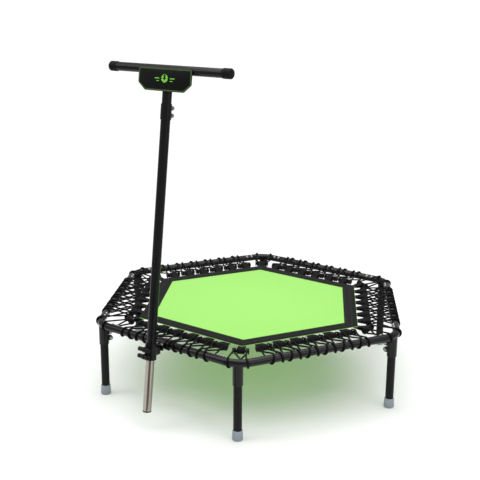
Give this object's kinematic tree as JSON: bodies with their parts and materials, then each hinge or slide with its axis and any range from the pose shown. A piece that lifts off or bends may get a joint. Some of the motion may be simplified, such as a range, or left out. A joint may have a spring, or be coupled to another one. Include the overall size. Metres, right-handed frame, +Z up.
{
  "type": "mini trampoline",
  "caption": "Six-sided indoor mini trampoline with elastic rope suspension, a bright mat and a height-adjustable T hand bar clamped to one side.",
  "frame": {"origin": "on the floor, under the middle of the whole object's box; the hexagon's middle is 48.5 mm towards +Y from it", "axes": "+Z up; +X towards corner 1 and along the side that the hand bar stands beside; the hand bar is on the -Y side"},
  "size_m": [1.3416, 1.3022, 1.3152],
  "materials": {
    "frame_paint": "black gloss powder coat",
    "leg_paint": "black satin powder coat",
    "bar_paint": "black fine-textured powder coat",
    "foot_rubber": "matte blue-grey rubber",
    "zinc_steel": "bright zinc-plated screws and nuts",
    "black_steel": "black oxide fasteners",
    "mat_fabric": "tight woven translucent green polypropylene",
    "border_fabric": "black coated webbing, sewn",
    "strap_webbing": "black woven webbing",
    "roller_plastic": "black moulded nylon",
    "elastic_rope": "black braided elastic rope",
    "pole_chrome": "chrome-plated steel tube",
    "black_plastic": "black moulded plastic",
    "cap_rubber": "black rubber",
    "sign_sheet": "black gloss plate with plain green lines"
  },
  "bodies": {
    "root": {"frame_corner_1": "frame_paint", "frame_corner_2": "frame_paint", "frame_corner_3": "frame_paint", "frame_corner_4": "frame_paint", "frame_corner_5": "frame_paint", "frame_corner_6": "frame_paint", "side_tube_1": "frame_paint", "side_tube_2": "frame_paint", "side_tube_3": "frame_paint", "side_tube_4": "frame_paint", "side_tube_5": "frame_paint", "side_tube_6": "frame_paint", "leg_1": "leg_paint", "leg_2": "leg_paint", "leg_3": "leg_paint", "leg_4": "leg_paint", "leg_5": "leg_paint", "leg_6": "leg_paint", "foot_1": "foot_rubber", "foot_2": "foot_rubber", "foot_3": "foot_rubber", "foot_4": "foot_rubber", "foot_5": "foot_rubber", "foot_6": "foot_rubber", "joint_screws": "zinc_steel", "leg_clamp_bolts": "zinc_steel", "leg_clamp_nuts": "zinc_steel", "bar_clamp_bolts": "zinc_steel", "elastic_loops_1": "elastic_rope", "elastic_loops_2": "elastic_rope", "elastic_loops_3": "elastic_rope", "elastic_loops_4": "elastic_rope", "elastic_loops_5": "elastic_rope", "elastic_loops_6": "elastic_rope", "corner_loops": "elastic_rope", "bar_clamp_upper_jaw": "bar_paint", "bar_clamp_lower_jaw": "bar_paint", "bar_clamp_nuts": "black_steel", "collar_nuts": "black_steel"},
    "mat": {"jump_mat": "mat_fabric", "mat_border": "border_fabric", "clip_straps": "strap_webbing", "clip_rollers": "roller_plastic"},
    "handle": {"inner_pole": "pole_chrome", "pole_end_plug": "black_plastic", "upright": "bar_paint", "coupling_sleeve": "bar_paint", "coupling_bolts": "zinc_steel", "cross_bar": "bar_paint", "end_cap_left": "cap_rubber", "end_cap_right": "cap_rubber", "sign_plate": "sign_sheet", "sign_screws": "black_steel"},
    "screw_upper": {"collar_screw_upper": "black_steel"},
    "screw_lower": {"collar_screw_lower": "black_steel"}
  },
  "joints": [
    {"name": "mat_bounce", "type": "slide", "parent": "root", "child": "mat", "axis": [0, 0, 1], "range_m": [-0.12, 0], "stiffness_N_per_m": 9000, "springref_m": 0.004, "deforming": ["elastic_loops_1", "elastic_loops_2", "elastic_loops_3", "elastic_loops_4", "elastic_loops_5", "elastic_loops_6", "corner_loops"]},
    {"name": "handle_height", "type": "slide", "parent": "root", "child": "handle", "axis": [0, 0.1245, 0.9922], "range_m": [0, 0.15]},
    {"name": "screw_upper_turn", "type": "hinge", "parent": "root", "child": "screw_upper", "pos_m": [0, -0.63505, 0.3067], "axis": [1, 0, 0], "continuous": true},
    {"name": "screw_lower_turn", "type": "hinge", "parent": "root", "child": "screw_lower", "pos_m": [0, -0.63828, 0.28091], "axis": [1, 0, 0], "continuous": true}
  ]
}
